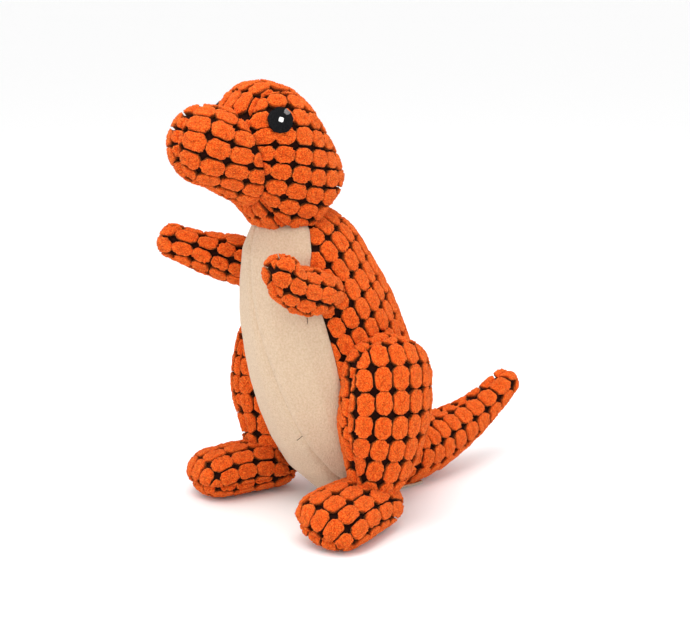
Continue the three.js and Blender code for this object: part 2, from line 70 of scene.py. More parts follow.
view = Vector((
    math.sin(CAMERA_TURN) * math.cos(CAMERA_RISE),
    -math.cos(CAMERA_TURN) * math.cos(CAMERA_RISE),
    math.sin(CAMERA_RISE),
))
camera_data = bpy.data.cameras.new("camera")
camera_data.lens = LENS
camera_data.sensor_width = 36
camera = bpy.data.objects.new("camera", camera_data)
bpy.context.scene.collection.objects.link(camera)
camera.location = AIM + view * CAMERA_AWAY
camera.rotation_euler = view.to_track_quat("Z", "Y").to_euler()
bpy.context.scene.camera = camera


def soft_box(name, place, aim, size, power):
    data = bpy.data.lights.new(name, "AREA")
    data.shape = "SQUARE"
    data.size = size
    data.energy = power
    light = bpy.data.objects.new(name, data)
    light.location = place
    light.rotation_euler = (Vector(place) - Vector(aim)).to_track_quat("Z", "Y").to_euler()
    bpy.context.scene.collection.objects.link(light)


soft_box("top_light", (0.25, -0.35, 1.2), (0, 0, 0.1), 0.9, 9)
soft_box("side_light", (1.3, -0.5, 0.8), (0, 0, 0.12), 0.7, 2.5)
soft_box("front_light", (-0.5, -1.4, 0.7), (0, 0, 0.12), 0.8, 2.5)

world = bpy.data.worlds.new("studio")
world.use_nodes = True
world.node_tree.nodes["Background"].inputs["Color"].default_value = (1, 1, 1, 1)
world.node_tree.nodes["Background"].inputs["Strength"].default_value = 1.0
bpy.context.scene.world = world
bpy.context.scene.view_settings.view_transform = "Standard"

floor_mesh = bpy.data.meshes.new("floor")
floor_mesh.from_pydata([(-20, -20, 0), (20, -20, 0), (20, 20, 0), (-20, 20, 0)], [], [(0, 1, 2, 3)])
floor = bpy.data.objects.new("floor", floor_mesh)
bpy.context.scene.collection.objects.link(floor)
paper = bpy.data.materials.new("paper")
paper.use_nodes = True
paper.node_tree.nodes["Principled BSDF"].inputs["Base Color"].default_value = (0.97, 0.97, 0.97, 1)
paper.node_tree.nodes["Principled BSDF"].inputs["Roughness"].default_value = 0.9
floor_mesh.materials.append(paper)

# ------------------------------------------------------------------------------------------------
# Torso back: two panels of plush with octagonal orange tufts on a dark brown backing, their columns
# running down the back. They are cut flat, sewn together along the spine and to the belly panels at
# the front, and stuffed tight.
# ------------------------------------------------------------------------------------------------

PILE = 0.0034  # height of a tuft over its backing
CLOTH = 0.0032  # how far the backing lies under the toy's outer surface
CELL = np.array([0.0113, 0.0152])  # one tuft's place on the flat cloth: across and along the columns
COLUMN_GAP = 0.0014  # bare cloth between two columns
END_GAP = 0.0003  # and between two tufts of a column
CORNER = 0.0029  # cut off each corner of a tuft, along each side
NUB = 0.0013  # the size of the lumps that a tuft's pile gathers in
NUB_DEPTH = 0.0005
NUB_OUT = 0.8  # how much the lumps stand up from the cloth as well as out of the tuft's sides
STRAY = 0.00022  # how far a tuft strays from its place
GROWTH = 0.02  # how much the tufts differ in size
FRAY = 0.0002  # the unevenness of a tuft's outline
LIFT = 0.00008  # and of its height
LEAST_GIRTH = 0.014  # a tuft with less than this round it is left off
SEAM_DIP = 0.0014  # how far the stuffed cloth pulls in at a seam
SEAM_REACH = 0.004
SEAM_WALL = 0.00025  # the more, the steeper a tuft ends at a seam
SEAM_THIN = 0.0024  # from here to the seam a tuft gets lower
VOXEL = 0.0024


def stuffed_form(nodes, rounds=30):
    """The outer surface of some CAD nodes taken together, smoothed and moved inwards to the backing."""
    corners, faces = [], []
    for node in nodes:
        mesh = frame["nodes"][node].data
        faces += [[v + len(corners) for v in p.vertices] for p in mesh.polygons]
        corners += [tuple(v.co) for v in mesh.vertices]
    mesh = bpy.data.meshes.new("form")
    mesh.from_pydata(corners, [], faces)
    solid = bpy.data.objects.new("form", mesh)
    bpy.context.scene.collection.objects.link(solid)
    remesh = solid.modifiers.new("remesh", "REMESH")
    remesh.mode = "VOXEL"
    remesh.voxel_size = VOXEL
    got = solid.evaluated_get(bpy.context.evaluated_depsgraph_get()).to_mesh()
    got.calc_loop_triangles()
    points = np.array([v.co for v in got.vertices], float)
    tris = np.array([t.vertices for t in got.loop_triangles], int)
    bpy.data.objects.remove(solid)
    points, tris = largest_shell(points, tris)
    points = smoothed(points, tris, rounds)
    return points - normals_of(points, tris) * CLOTH, tris


def largest_shell(points, tris):
    """The largest connected part of a mesh."""
    tris = largest_part(tris, len(points))
    used, local = np.unique(tris, return_inverse=True)
    return points[used], local.reshape(-1, 3)


def largest_part(tris, count):
    """The triangles of the largest connected part."""
    label = np.arange(count)
    while True:
        low = label[tris].min(axis=1)
        new = label.copy()
        np.minimum.at(new, tris.ravel(), np.repeat(low, 3))
        new = new[new]
        if (new == label).all():
            break
        label = new
    names, counts = np.unique(label[tris[:, 0]], return_counts=True)
    return tris[label[tris[:, 0]] == names[counts.argmax()]]


def edges_of(tris):
    pairs = np.concatenate([tris[:, [0, 1]], tris[:, [1, 2]], tris[:, [2, 0]]])
    return np.unique(np.sort(pairs, axis=1), axis=0)


def smoothed(points, tris, rounds, keep=0.53):
    """Points moved towards their neighbours and back a little, which takes off facets and keeps bulk."""
    a, b = edges_of(tris).T
    count = np.bincount(np.concatenate([a, b]), minlength=len(points))[:, None]
    points = points.copy()
    for step in [0.5, -keep] * rounds:
        total = np.zeros_like(points)
        for axis in range(3):
            total[:, axis] = np.bincount(a, points[b, axis], len(points)) + np.bincount(
                b, points[a, axis], len(points)
            )
        points += step * (total / np.maximum(count, 1) - points)
    return points


def normals_of(points, tris):
    face = np.cross(points[tris[:, 1]] - points[tris[:, 0]], points[tris[:, 2]] - points[tris[:, 0]])
    total = np.zeros_like(points)
    for k in range(3):
        for axis in range(3):
            total[:, axis] += np.bincount(tris[:, k], face[:, axis], len(points))
    return total / np.maximum(np.linalg.norm(total, axis=1), 1e-12)[:, None]


def cut(points, tris, height):
    """A mesh cut along height = 0: its points, the triangles above and those below."""
    height = np.where(np.abs(height) < 1e-7, 1e-7, height)
    above = height > 0
    edges = edges_of(tris)
    crossing = edges[above[edges[:, 0]] != above[edges[:, 1]]]
    t = height[crossing[:, 0]] / (height[crossing[:, 0]] - height[crossing[:, 1]])
    t = np.clip(t, 0.05, 0.95)
    new = points[crossing[:, 0]] + t[:, None] * (points[crossing[:, 1]] - points[crossing[:, 0]])
    lookup = {(a, b): len(points) + i for i, (a, b) in enumerate(crossing.tolist())}
    split = {True: [], False: []}
    whole = above[tris].sum(axis=1)
    split[True] += tris[whole == 3].tolist()
    split[False] += tris[whole == 0].tolist()
    for tri in tris[(whole == 1) | (whole == 2)].tolist():
        lone = next(k for k in range(3) if (above[tri] == above[tri[k]]).sum() == 1)
        a, b, c = tri[lone], tri[(lone + 1) % 3], tri[(lone + 2) % 3]
        ab, ac = lookup[min(a, b), max(a, b)], lookup[min(a, c), max(a, c)]
        side = bool(above[a])
        split[side].append([a, ab, ac])
        split[not side] += [[ab, b, c], [ab, c, ac]]
    return np.concatenate([points, new]), np.array(split[True]), np.array(split[False])


def flattened(points, tris, grain_at, grain):
    """The panel's cloth laid flat, in metres, with the direction grain at grain_at running along +V."""
    used, local = np.unique(tris, return_inverse=True)
    local = local.reshape(-1, 3)
    mesh = bpy.data.meshes.new("flat")
    mesh.from_pydata(points[used].tolist(), [], local.tolist())
    mesh.uv_layers.new(name="UVMap")
    panel = bpy.data.objects.new("flat", mesh)
    bpy.context.scene.collection.objects.link(panel)
    bpy.context.view_layer.objects.active = panel
    for other in bpy.context.selected_objects:
        other.select_set(False)
    panel.select_set(True)
    uv = np.zeros((len(used), 2))
    for method in ("MINIMUM_STRETCH", "ANGLE_BASED", "CONFORMAL"):
        bpy.ops.object.mode_set(mode="EDIT")
        bpy.ops.mesh.select_all(action="SELECT")
        bpy.ops.uv.unwrap(method=method, margin=0)
        bpy.ops.object.mode_set(mode="OBJECT")
        loops = np.array([l.vertex_index for l in mesh.loops])
        flat = np.zeros(len(loops) * 2)
        mesh.uv_layers[0].data.foreach_get("uv", flat)
        uv[loops] = flat.reshape(-1, 2)
        if np.isfinite(uv).all() and np.ptp(uv, axis=0).min() > 0.02:
            break
    bpy.data.objects.remove(panel)
    p, q = points[used][local], uv[local]
    area = np.linalg.norm(np.cross(p[:, 1] - p[:, 0], p[:, 2] - p[:, 0]), axis=1)
    e, f = q[:, 1] - q[:, 0], q[:, 2] - q[:, 0]
    flat_area = e[:, 0] * f[:, 1] - e[:, 1] * f[:, 0]
    if flat_area.sum() < 0:
        uv[:, 0] *= -1
        q = uv[local]
        e, f = q[:, 1] - q[:, 0], q[:, 2] - q[:, 0]
    uv *= math.sqrt(area.sum() / np.abs(flat_area).sum())
    q = uv[local]
    e, f = q[:, 1] - q[:, 0], q[:, 2] - q[:, 0]
    near = np.argsort(np.linalg.norm(p.mean(axis=1) - np.array(grain_at), axis=1))[:12]
    total = np.zeros(2)
    for i in near:
        base = np.array([p[i, 1] - p[i, 0], p[i, 2] - p[i, 0]]).T
        share = np.linalg.lstsq(base, np.array(grain, float), rcond=None)[0]
        total += np.array([e[i], f[i]]).T @ share
    turn = math.atan2(total[0], total[1])
    c, s = math.cos(turn), math.sin(turn)
    uv = uv @ np.array([[c, s], [-s, c]])
    centre = uv[local[near]].reshape(-1, 2).mean(axis=0)
    return used, local, uv - centre


def octagon(half, corner):
    """Points round a box with its corners cut off, four to each of its eight sides."""
    (a, b), c = half, corner
    quarter = [(a, b - c), (a - c, b)]
    turns = [(1, 1), (-1, 1), (-1, -1), (1, -1)]
    corners = []
    for k, (sx, sy) in enumerate(turns):
        corners += [(sx * x, sy * y) for x, y in (quarter if k % 2 == 0 else quarter[::-1])]
    corners = np.array(corners)
    after = np.roll(corners, -1, axis=0)
    points = [corners * 0.975]
    points += [corners + (after - corners) * t for t in (0.25, 0.5, 0.75)]
    return np.stack(points, axis=1).reshape(-1, 2)


LUMP_WAVES = 9  # crossing waves that make up the lumps


def lumps(points, size, draws):
    """Rounded lumps with creases between them, from 0 in a crease to about 1 on a lump."""
    directions = draws.normal(0, 1, (LUMP_WAVES, 3))
    directions /= np.linalg.norm(directions, axis=1)[:, None]
    phases = draws.uniform(0, 2 * math.pi, LUMP_WAVES)
    waves = np.zeros(len(points))
    for direction, phase in zip(directions, phases):
        waves += np.sin(points @ direction * (2 * math.pi / size / 1.4) + phase)
    return np.minimum(np.abs(waves) / 2.6, 1.15)


# A tuft from the cloth up to its middle: shares of its outline and of its height.
TUFT_PROFILE = np.array([
    [0.96, -0.1], [1.0, 0.15], [1.01, 0.4], [1.01, 0.68], [1.0, 0.86], [0.955, 0.97],
    [0.87, 1.01], [0.7, 1.03], [0.5, 1.04], [0.3, 1.05], [0.1, 1.05],
])
TUFT_SIDES = 32


def tufts_on(panel, dice, cell=CELL, height=PILE, shift=(0.0, 0.0), clear_of=None):
    """Octagons of pile in rows and columns over a flattened panel, as points and faces in place."""
    uv = panel["uv"]
    tree = BVHTree.FromPolygons([(u, v, 0.0) for u, v in uv], panel["local"].tolist())
    low, high = uv.min(axis=0), uv.max(axis=0)
    columns = range(int((low[0] - shift[0]) // cell[0]), int((high[0] - shift[0]) // cell[0]) + 2)
    rows = range(int((low[1] - shift[1]) // cell[1]), int((high[1] - shift[1]) // cell[1]) + 2)
    half = cell / 2 - np.array([COLUMN_GAP, END_GAP]) / 2
    outline = octagon(half, CORNER * cell.min() / CELL.min())
    flats, highs = [], []
    for i in columns:
        for j in rows:
            middle = np.array([(i + 0.5) * cell[0] + shift[0], (j + 0.5) * cell[1] + shift[1]])
            middle = middle + dice.normal(0, STRAY, 2)
            reach = outline * (1 + dice.normal(0, GROWTH))
            rough = dice.normal(0, FRAY, (len(TUFT_PROFILE), TUFT_SIDES))
            lift = dice.normal(0, LIFT, (len(TUFT_PROFILE), TUFT_SIDES))
            inside = [
                tree.find_nearest((*(middle + reach[k] * 0.8), 0.0))[3] < 1e-6
                for k in range(0, TUFT_SIDES, 3)
            ]
            if sum(inside) < 2:
                continue
            r = TUFT_PROFILE[:, :1] + rough * (TUFT_PROFILE[:, :1] > 0.3) / half.mean()
            flats.append(middle + r[..., None] * reach[None])
            highs.append(height * np.repeat(TUFT_PROFILE[:, 1:], TUFT_SIDES, axis=1) + lift)
    flats, highs = np.array(flats), np.array(highs)
    place = on_panel(panel, tree, flats.reshape(-1, 2))
    seam = place["seam"]
    if clear_of is not None:
        seam = np.minimum(seam, clear_of(place["point"]))
    seam = seam.reshape(highs.shape)
    edge = np.clip((seam + SEAM_WALL) / (SEAM_WALL + SEAM_THIN), 0, 1)
    edge = np.sqrt(1 - (1 - edge) ** 2)
    rise = np.where(highs > 0, highs * edge, highs)
    points = place["point"] + place["normal"] * rise.reshape(-1, 1)
    count = len(flats)
    levels = len(TUFT_PROFILE)
    nub = lumps(points, NUB, np.random.default_rng(5)).reshape(count, levels, TUFT_SIDES)
    middles = points.reshape(count, -1, 3).mean(axis=1)[:, None]
    out = points.reshape(count, -1, 3) - middles
    out /= np.maximum(np.linalg.norm(out, axis=2), 1e-9)[..., None]
    out = out + place["normal"].reshape(count, -1, 3) * NUB_OUT
    amount = (nub - 0.75) * NUB_DEPTH * np.clip(TUFT_PROFILE[:, 1] / 0.4, 0, 1)[None, :, None]
    amount *= np.clip(rise.reshape(count, levels, TUFT_SIDES) / (0.5 * height), 0, 1)
    points = (points.reshape(count, -1, 3) + out * amount.reshape(count, -1, 1)).reshape(-1, 3)
    span = points.reshape(count, levels, TUFT_SIDES, 3)[:, 2]
    girth = np.linalg.norm(span - np.roll(span, 1, axis=1), axis=2).sum(axis=1)
    standing = edge.reshape(count, levels, TUFT_SIDES)[:, 4:].max(axis=(1, 2)) > 0.5
    keep = (girth > LEAST_GIRTH) & standing
    # Painted shade: each point's colour is darkened in the creases between the lumps and down a tuft's walls
    # towards the cloth, where shade falls.
    shade = np.clip(nub * 0.5 + 0.6, 0, 1) * np.clip(TUFT_PROFILE[:, 1] * 1.7 - 0.6, 0, 1)[None, :, None]
    return mesh_of_tufts(points.reshape(count, levels, TUFT_SIDES, 3)[keep], shade[keep])


def mesh_of_tufts(points, shade):
    """Quads between the levels of each tuft, a fan over its middle, and the light that reaches a point."""
    count, levels, sides, _ = points.shape
    index = np.arange(count * levels * sides).reshape(count, levels, sides)
    after = np.roll(index, -1, axis=2)
    quads = np.stack([index[:, :-1], after[:, :-1], after[:, 1:], index[:, 1:]], axis=-1).reshape(-1, 4)
    tops = points[:, -1].mean(axis=1)
    top_index = count * levels * sides + np.arange(count)
    fans = np.stack([
        index[:, -1], after[:, -1], np.repeat(top_index[:, None], sides, axis=1)
    ], axis=-1).reshape(-1, 3)
    light = np.concatenate([shade.reshape(-1), shade[:, -1].mean(axis=1)])
    return np.concatenate([points.reshape(-1, 3), tops]), quads, fans, light


def on_panel(panel, tree, flat):
    """The places, normals and seam distances of the stuffed panel under points of the flat one."""
    hits = [tree.find_nearest((u, v, 0.0)) for u, v in flat.tolist()]
    where = np.array([h[0][:2] for h in hits])
    tri = panel["local"][[h[2] for h in hits]]
    a, b, c = (panel["uv"][tri[:, k]] for k in range(3))
    e, f, g = b - a, c - a, where - a
    area = e[:, 0] * f[:, 1] - e[:, 1] * f[:, 0]
    area = np.where(np.abs(area) < 1e-14, 1e-14, area)
    s = np.clip((g[:, 0] * f[:, 1] - g[:, 1] * f[:, 0]) / area, 0, 1)
    t = np.clip((e[:, 0] * g[:, 1] - e[:, 1] * g[:, 0]) / area, 0, 1)
    share = np.stack([1 - s - t, s, t], axis=1)[..., None]
    mix = {}
    for key in ("point", "normal"):
        mix[key] = (panel[key][tri] * share).sum(axis=1)
    mix["normal"] /= np.maximum(np.linalg.norm(mix["normal"], axis=1), 1e-9)[:, None]
    mix["seam"] = (panel["seam"][tri] * share[..., 0]).sum(axis=1)
    return mix


def panel_of(form, tris, grain_at, grain):
    """One cut piece of cloth: its place on the stuffed form, its flat shape, and how far its seams are."""
    outer = form[:, :3] + form[:, 3:6] * CLOTH
    used, local, uv = flattened(outer, largest_part(tris, len(form)), grain_at, grain)
    point, normal = form[used, :3], form[used, 3:6]
    normal = normal / np.maximum(np.linalg.norm(normal, axis=1), 1e-9)[:, None]
    seam = from_seams(point, local)
    point = point - normal * (SEAM_DIP * eased(1 - seam / SEAM_REACH))[:, None]
    return {"local": local, "uv": uv, "point": point, "normal": normal, "seam": seam}


def eased(share):
    """A share held between 0 and 1, that starts and ends softly."""
    share = np.clip(share, 0, 1)
    return share * share * (3 - 2 * share)


def from_seams(points, tris):
    """How far each point of a panel is from the nearest point of the panel's edge."""
    sides = np.sort(np.concatenate([tris[:, [0, 1]], tris[:, [1, 2]], tris[:, [2, 0]]]), axis=1)
    edges, times = np.unique(sides, axis=0, return_counts=True)
    rim = np.unique(edges[times == 1])
    tree = KDTree(len(rim))
    for i, p in enumerate(points[rim]):
        tree.insert(p, i)
    tree.balance()
    return np.array([tree.find(p)[2] for p in points])


def cloth_piece(name, body, nodes, panel, tufts):
    """A panel's backing with its tufts on it, as one piece that rides on a body, if one is named."""
    points, quads, fans, light = tufts
    first = len(panel["point"])
    corners = np.concatenate([panel["point"], points])
    faces = panel["local"].tolist() + (quads + first).tolist() + (fans + first).tolist()
    mesh = bpy.data.meshes.new(name)
    mesh.from_pydata(corners.tolist(), [], faces)
    mesh.materials.append(backing_brown_gap_shade)
    mesh.materials.append(pile_orange)
    mesh.polygons.foreach_set("use_smooth", np.ones(len(faces), bool))
    # A point attribute that holds the tufts' painted shade; the backing's points get 0, which their material
    # doesn't read.
    painted_shade = mesh.attributes.new("painted_shade", "FLOAT", "POINT")
    painted_shade.data.foreach_set("value", np.concatenate([np.zeros(first), light]))
    slots = np.ones(len(faces), int)
    slots[: len(panel["local"])] = 0
    mesh.polygons.foreach_set("material_index", slots)
    piece = bpy.data.objects.new(name, mesh)
    bpy.context.scene.collection.objects.link(piece)
    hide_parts(*nodes)
    if body:
        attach(piece, body)
    return piece


def finish(name, roughness, sheen=0.0, sheen_tint=(1, 1, 1, 1)):
    """A new material and its nodes, with the shader's plain values set."""
    made = bpy.data.materials.new(name)
    made.use_nodes = True
    nodes, links = made.node_tree.nodes, made.node_tree.links
    shader = nodes["Principled BSDF"]
    shader.inputs["Roughness"].default_value = roughness
    shader.inputs["Specular IOR Level"].default_value = 0.15
    shader.inputs["Sheen Weight"].default_value = sheen
    shader.inputs["Sheen Roughness"].default_value = 0.45
    shader.inputs["Sheen Tint"].default_value = sheen_tint
    return made, nodes, links, shader


def mottled(nodes, links, shader, size, shades, detail=3.0):
    """Colour that wanders between shades over patches of a size, in metres."""
    where = nodes.new("ShaderNodeTexCoord")
    noise = nodes.new("ShaderNodeTexNoise")
    noise.inputs["Scale"].default_value = 1 / size
    noise.inputs["Detail"].default_value = detail
    ramp = nodes.new("ShaderNodeValToRGB")
    ramp.color_ramp.elements[0].position = 0.32
    ramp.color_ramp.elements[1].position = 0.68
    ramp.color_ramp.elements[0].color = (*shades[0], 1)
    ramp.color_ramp.elements[1].color = (*shades[-1], 1)
    for k, shade in enumerate(shades[1:-1]):
        middle = ramp.color_ramp.elements.new(0.32 + 0.36 * (k + 1) / (len(shades) - 1))
        middle.color = (*shade, 1)
    links.new(where.outputs["Object"], noise.inputs["Vector"])
    links.new(noise.outputs["Fac"], ramp.inputs["Fac"])
    links.new(ramp.outputs["Color"], shader.inputs["Base Color"])
    return where


def rough_up(nodes, links, shader, where, size, depth, detail=4.0):
    """A fine uneven surface, with bumps of a size and depth in metres."""
    noise = nodes.new("ShaderNodeTexNoise")
    noise.inputs["Scale"].default_value = 1 / size
    noise.inputs["Detail"].default_value = detail
    noise.inputs["Roughness"].default_value = 0.65
    bump = nodes.new("ShaderNodeBump")
    bump.inputs["Distance"].default_value = depth
    bump.inputs["Strength"].default_value = 1.0
    links.new(where.outputs["Object"], noise.inputs["Vector"])
    links.new(noise.outputs["Fac"], bump.inputs["Height"])
    links.new(bump.outputs["Normal"], shader.inputs["Normal"])
    return noise


pile_orange, nodes, links, shader = finish("orange_pile", 0.95, sheen=0.34, sheen_tint=(1.0, 0.46, 0.14, 1))
where = mottled(nodes, links, shader, 0.0007, [(0.56, 0.034, 0.002), (0.9, 0.1, 0.006), (1.0, 0.25, 0.036)])
# Painted shade: the pile's colour is multiplied by the per-point painted shade value, darkest at a tuft's
# foot and in the creases of its lumps.
painted_shade = nodes.new("ShaderNodeAttribute")
painted_shade.attribute_name = "painted_shade"
depth = nodes.new("ShaderNodeMapRange")
depth.inputs["From Max"].default_value = 0.9
depth.inputs["To Min"].default_value = 0.08
shaded = nodes.new("ShaderNodeMix")
shaded.data_type = "RGBA"
shaded.blend_type = "MULTIPLY"
shaded.inputs["Factor"].default_value = 1.0
links.new(painted_shade.outputs["Fac"], depth.inputs["Value"])
links.new(shader.inputs["Base Color"].links[0].from_socket, shaded.inputs["A"])
links.new(depth.outputs["Result"], shaded.inputs["B"])
links.new(shaded.outputs["Result"], shader.inputs["Base Color"])
rough_up(nodes, links, shader, where, 0.0007, 0.0010)

# Dark brown cloth, made darker still, nearly black, as painted shade for the deep gaps between the tufts.
backing_brown_gap_shade, nodes, links, shader = finish("brown_backing_gap_shade", 1.0)
where = mottled(nodes, links, shader, 0.0009, [(0.008, 0.002, 0.001), (0.03, 0.006, 0.003)])
rough_up(nodes, links, shader, where, 0.0005, 0.0004)

pivots = {j["name"]: np.array(j["pos_m"]) for j in frame["record"]["behaviour"]["joints"]}
MIDDLE = pivots["head_nod"][0]  # the toy's middle plane, left to right
HIPS = pivots["head_nod"][1] + 0.025  # the line across the hips, front to back
SEAT = 0.012  # height of the torso's underside
TORSO_HEIGHT = 0.196
TORSO_DEPTH = 0.112
BACK_CELL = CELL * (1, 0.92)  # the rows are drawn closer together down the back
BACK_GRAIN = (0, -0.36, 1)

# The side seam between the back and the belly, from tail to neck: shares of the torso's height above the
# seat, and of its depth behind the hips.
SIDE_SEAM = np.array([
    [-0.112, 0.67], [-0.02, 0.67], [0.01, 0.36], [0.05, 0.14], [0.17, -0.05], [0.32, -0.17],
    [0.495, -0.235], [0.67, -0.31], [0.815, -0.34], [0.96, -0.28], [1.2, -0.3],
])
side_seam = np.round([SEAT, 0] + SIDE_SEAM * [TORSO_HEIGHT, TORSO_DEPTH], 4)
dice = np.random.default_rng(11)

torso_nodes = ["back_panel_left", "back_panel_right", "belly_panel_left", "belly_panel_right"]
points, tris = stuffed_form(torso_nodes + ["torso_stuffing"])
torso_form = np.hstack([points, normals_of(points, tris)])
whole_torso = torso_form, tris
behind_seam = torso_form[:, 1] - HIPS - np.interp(torso_form[:, 2], *side_seam.T)
torso_form, back_tris, belly_tris = cut(torso_form, tris, behind_seam)
torso_form, left_tris, right_tris = cut(torso_form, back_tris, torso_form[:, 0] - MIDDLE)
for side, panel_tris, across in (("left", left_tris, 1), ("right", right_tris, -1)):
    panel = panel_of(torso_form, panel_tris, (MIDDLE + across * 0.045, 0.0, 0.12), BACK_GRAIN)
    tufts = tufts_on(panel, dice, cell=BACK_CELL)
    cloth_piece(f"back_{side}", "torso", [f"back_panel_{side}"], panel, tufts)

# ------------------------------------------------------------------------------------------------
# Belly: two panels of short-napped cream plush between the tufted sides, joined down the front by a
# seam that leans to the left as it goes down.
# ------------------------------------------------------------------------------------------------

BELLY_RISE = 0.0020  # the nap's top over the tufted cloth's backing
BELLY_SEAM_TOP = SEAT + TORSO_HEIGHT * 0.7  # where the seam crosses the middle
BELLY_SEAM_LEAN = 0.2
BELLY_SEAM_DIP = 0.0013

belly_cream, nodes, links, shader = finish("cream_nap", 0.92, sheen=0.3, sheen_tint=(1.0, 0.95, 0.88, 1))
where = mottled(nodes, links, shader, 0.0012, [(0.58, 0.42, 0.28), (0.68, 0.52, 0.37)], detail=4.0)
noise = rough_up(nodes, links, shader, where, 0.0011, 0.0012)
brushed = nodes.new("ShaderNodeMapping")
brushed.inputs["Rotation"].default_value = (math.radians(25), 0, 0)
brushed.inputs["Scale"].default_value = (1, 1, 0.45)
links.new(where.outputs["Object"], brushed.inputs["Vector"])
links.new(brushed.outputs["Vector"], noise.inputs["Vector"])


def plain_cloth(name, points, faces, material, nodes=(), rounds=1):
    """A smooth piece of one material, with its mesh subdivided some rounds."""
    mesh = bpy.data.meshes.new(name)
    mesh.from_pydata(np.asarray(points).tolist(), [], faces)
    piece = bpy.data.objects.new(name, mesh)
    bpy.context.scene.collection.objects.link(piece)
    if rounds:
        finer = piece.modifiers.new("finer", "SUBSURF")
        finer.levels = finer.render_levels = rounds
        done = piece.evaluated_get(bpy.context.evaluated_depsgraph_get())
        piece.data = bpy.data.meshes.new_from_object(done)
        piece.modifiers.clear()
        bpy.data.meshes.remove(mesh)
        piece.data.name = name
    piece.data.materials.append(material)
    piece.data.polygons.foreach_set("use_smooth", np.ones(len(piece.data.polygons), bool))
    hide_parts(*nodes)
    return piece


lean = torso_form[:, 0] - MIDDLE + BELLY_SEAM_LEAN * (torso_form[:, 2] - BELLY_SEAM_TOP)
torso_form, left_tris, right_tris = cut(torso_form, belly_tris, lean)
for side, panel_tris in (("left", left_tris), ("right", right_tris)):
    used, local = np.unique(panel_tris, return_inverse=True)
    local = local.reshape(-1, 3)
    form = torso_form[used]
    near = 1 - np.clip(from_seams(form[:, :3], local) / SEAM_REACH, 0, 1)
    rise = BELLY_RISE - BELLY_SEAM_DIP * near * near
    piece = plain_cloth(
        f"belly_{side}", form[:, :3] + form[:, 3:6] * rise[:, None], local.tolist(), belly_cream,
        [f"belly_panel_{side}"],
    )
    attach(piece, "torso")

# ------------------------------------------------------------------------------------------------
# Stuffing: loose white polyester fibre packed tight in every part, and in the belly a blown plastic
# squeaker, a hollow disc with a reed pressed into its neck.
# ------------------------------------------------------------------------------------------------

FILLING_ROOM = 0.0030  # left between a filling and the backing of its cloth
FILLING_SUNK = 0.006  # how far under a neighbour's surface a filling's root ends
FILLING_FROM, FILLING_TO = 0.015, 0.007  # heights over that surface between which it draws in
FILLING_LUMP = 0.012
FILLING_SWELL = 0.0010

fibre_white, nodes, links, shader = finish("white_fibre", 1.0, sheen=0.4)
where = mottled(nodes, links, shader, 0.006, [(0.62, 0.61, 0.58), (0.82, 0.81, 0.79)], detail=8.0)
rough_up(nodes, links, shader, where, 0.0016, 0.002, detail=8.0)


def height_over(tree, points):
    """Signed distance of points over a closed surface, and the way out of it at the nearest place."""
    hits = [tree.find_nearest(p) for p in points]
    foot = np.array([h[0] for h in hits])
    out = np.array([h[1] for h in hits])
    away = points - foot
    far = np.linalg.norm(away, axis=1)
    sign = np.where((away * out).sum(axis=1) < 0, -1.0, 1.0)
    return far * sign, out


def filling(name, body, form, tris, onto=()):
    """A lumpy mass of fibre inside a part's cloth, with room left between them."""
    swell = (lumps(form[:, :3], FILLING_LUMP, np.random.default_rng(3)) - 1) * FILLING_SWELL
    points = form[:, :3] + form[:, 3:6] * (swell - FILLING_ROOM)[:, None]
    for tree in onto:
        over, out = height_over(tree, points)
        share = eased((FILLING_FROM - over) / (FILLING_FROM - FILLING_TO))
        points = points - out * (np.maximum(over + FILLING_SUNK, 0) * share)[:, None]
    points = smoothed(points, tris, 2)
    piece = plain_cloth(
        f"{name}_filling", points, tris.tolist(), fibre_white, [f"{name}_stuffing"], rounds=0,
    )
    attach(piece, body)


filling("torso", "torso", *whole_torso)

squeaker_plastic, nodes, links, shader = finish("milky_plastic", 0.35)
where = mottled(nodes, links, shader, 0.01, [(0.7, 0.7, 0.66), (0.78, 0.78, 0.75)])
rough_up(nodes, links, shader, where, 0.003, 0.0001)
for node in ("squeaker_bulb", "squeaker_reed"):
    frame["nodes"][node].data.materials.clear()
    frame["nodes"][node].data.materials.append(squeaker_plastic)

# ------------------------------------------------------------------------------------------------
# Head: the crown and the chin are one strip each over the middle, the cheeks close the sides, and two
# muzzle panels close the snout. Its open neck is sewn down onto the torso's round top.
# ------------------------------------------------------------------------------------------------

SINK = 0.0045  # how far a sewn-on part's open end goes in under the other part's surface
SINK_NEAR = 0.0048  # cloth lower than this over that surface goes all the way in
SINK_FAR = 0.012  # and higher than this it stays
SINK_KEPT = 0.003  # cloth deeper than this under it is cut away
ROOT_DRAWN = 0.010  # how far a thin limb's root is drawn in along its length
ROOT_FROM, ROOT_TO = 0.014, 0.034


def surface_tree(form, tris):
    """The outer surface of a part's cloth, for finding the nearest place on it."""
    outer = form[:, :3] + form[:, 3:6] * CLOTH
    return BVHTree.FromPolygons(outer.tolist(), tris.tolist())


def sewn_onto(points, tree):
    """Points of a form, with its open end drawn on over its neighbour's surface and in under it."""
    over, out = height_over(tree, points)
    share = eased((SINK_FAR - over) / (SINK_FAR - SINK_NEAR))
    drop = np.where(over > -SINK, (over + SINK) * share, 0)
    return points - out * drop[:, None]


def form_of(nodes, onto=(), rounds=30, root=None):
    """Points with normals and triangles of a stuffed form, drawn onto its neighbours."""
    points, tris = stuffed_form(nodes, rounds=rounds)
    if root is not None:
        start, line = np.array(root[0]), np.array(root[1]) / np.linalg.norm(root[1])
        share = eased((ROOT_TO - (points - start) @ line) / (ROOT_TO - ROOT_FROM))
        points = points - (share * ROOT_DRAWN)[:, None] * line
    for tree in onto:
        points = sewn_onto(points, tree)
    points = smoothed(points, tris, 3)
    return np.hstack([points, normals_of(points, tris)]), tris


def without(form, tris, tree):
    """A form without what lies deep under a neighbour's surface."""
    over, _ = height_over(tree, form[:, :3])
    form, kept, _ = cut(form, tris, over + SINK_KEPT)
    return form, kept


